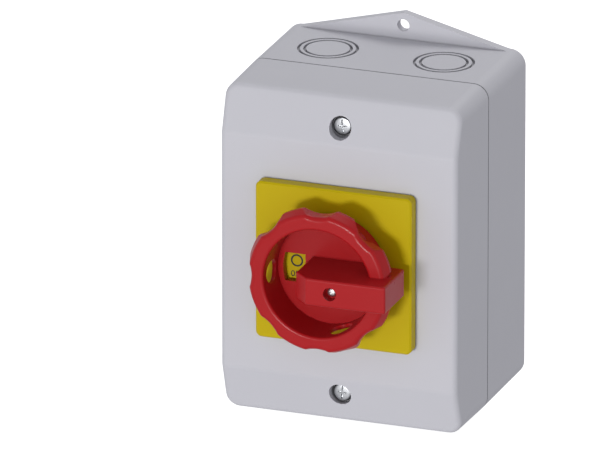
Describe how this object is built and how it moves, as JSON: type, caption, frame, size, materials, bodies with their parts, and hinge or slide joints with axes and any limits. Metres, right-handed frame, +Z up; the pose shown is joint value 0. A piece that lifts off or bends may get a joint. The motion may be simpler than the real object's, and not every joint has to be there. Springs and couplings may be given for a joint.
{
  "type": "enclosed rotary isolator switch",
  "caption": "Enclosed rotary isolator: wall box with cable knock-outs, square yellow plate and red scalloped handle that turns a quarter turn and takes padlocks.",
  "frame": {"origin": "on the wall, on the handle's axis, midway between the two wall holes", "axes": "+X to the right seen from the front, +Y into the wall, +Z up; the handle points at -Y and is stored in its OFF position"},
  "size_m": [0.103, 0.1175, 0.1638],
  "materials": {
    "enclosure_grey": "fine moulded texture, light grey",
    "yellow_plastic": "smooth satin moulding, signal yellow",
    "red_plastic": "satin moulding, signal red",
    "seal_rubber": "soft black rubber",
    "zinc_steel": "zinc plated steel",
    "spring_steel": "bright spring steel",
    "brass": "turned brass",
    "copper": "tinned copper strip",
    "silver_alloy": "silver alloy contact",
    "switch_black": "black thermoset moulding",
    "switch_grey": "dark grey thermoplastic",
    "drive_black": "black glass filled moulding",
    "earth_green": "green insulating foot",
    "neutral_blue": "blue insulating foot"
  },
  "bodies": {
    "enclosure": {"rear_box": "enclosure_grey", "front_cover": "enclosure_grey", "cover_gasket": "seal_rubber", "cover_screws": "zinc_steel", "cover_screw_seals": "seal_rubber", "cover_screw_inserts": "brass", "escutcheon_plate": "yellow_plastic", "escutcheon_gasket": "seal_rubber", "escutcheon_screws": "zinc_steel", "shaft_seal": "seal_rubber", "switch_base": "switch_black", "switch_housing": "switch_black", "mechanism_cap": "switch_grey", "housing_screws": "zinc_steel", "switch_mounting_screws": "zinc_steel", "thrust_washer": "spring_steel", "stop_pins": "zinc_steel", "detent_springs": "spring_steel", "terminal_covers": "switch_grey", "line_contacts": "copper", "load_contacts": "copper", "fixed_contact_tips": "silver_alloy", "terminal_clamps": "zinc_steel", "terminal_screws": "zinc_steel", "earth_terminal_foot": "earth_green", "earth_terminal_bar": "brass", "neutral_terminal_foot": "neutral_blue", "neutral_terminal_bar": "brass", "terminal_bar_screws": "zinc_steel", "terminal_foot_screws": "zinc_steel"},
    "handle": {"handle_grip": "red_plastic", "handle_screw": "zinc_steel", "drive_hub": "drive_black", "hub_retaining_ring": "spring_steel", "drive_shaft": "zinc_steel", "shaft_driver": "drive_black", "driver_pin": "zinc_steel", "switch_rotor": "switch_grey"},
    "carrier": {"contact_carrier": "switch_grey", "follower_pin": "zinc_steel", "contact_bridges": "copper", "moving_contact_tips": "silver_alloy", "contact_springs": "spring_steel"}
  },
  "joints": [
    {"name": "handle_turn", "type": "hinge", "parent": "enclosure", "child": "handle", "pos_m": [0, -0.1, 0], "axis": [0, 1, 0], "range_deg": [0, 90], "deforming": ["detent_springs"]},
    {"name": "carrier_slide", "type": "slide", "parent": "enclosure", "child": "carrier", "axis": [0, 1, 0], "range_m": [0, 0.004]}
  ],
  "couplings": [
    {"joint": "carrier_slide", "follows": "handle_turn", "m_per_rad": 0.002546}
  ]
}
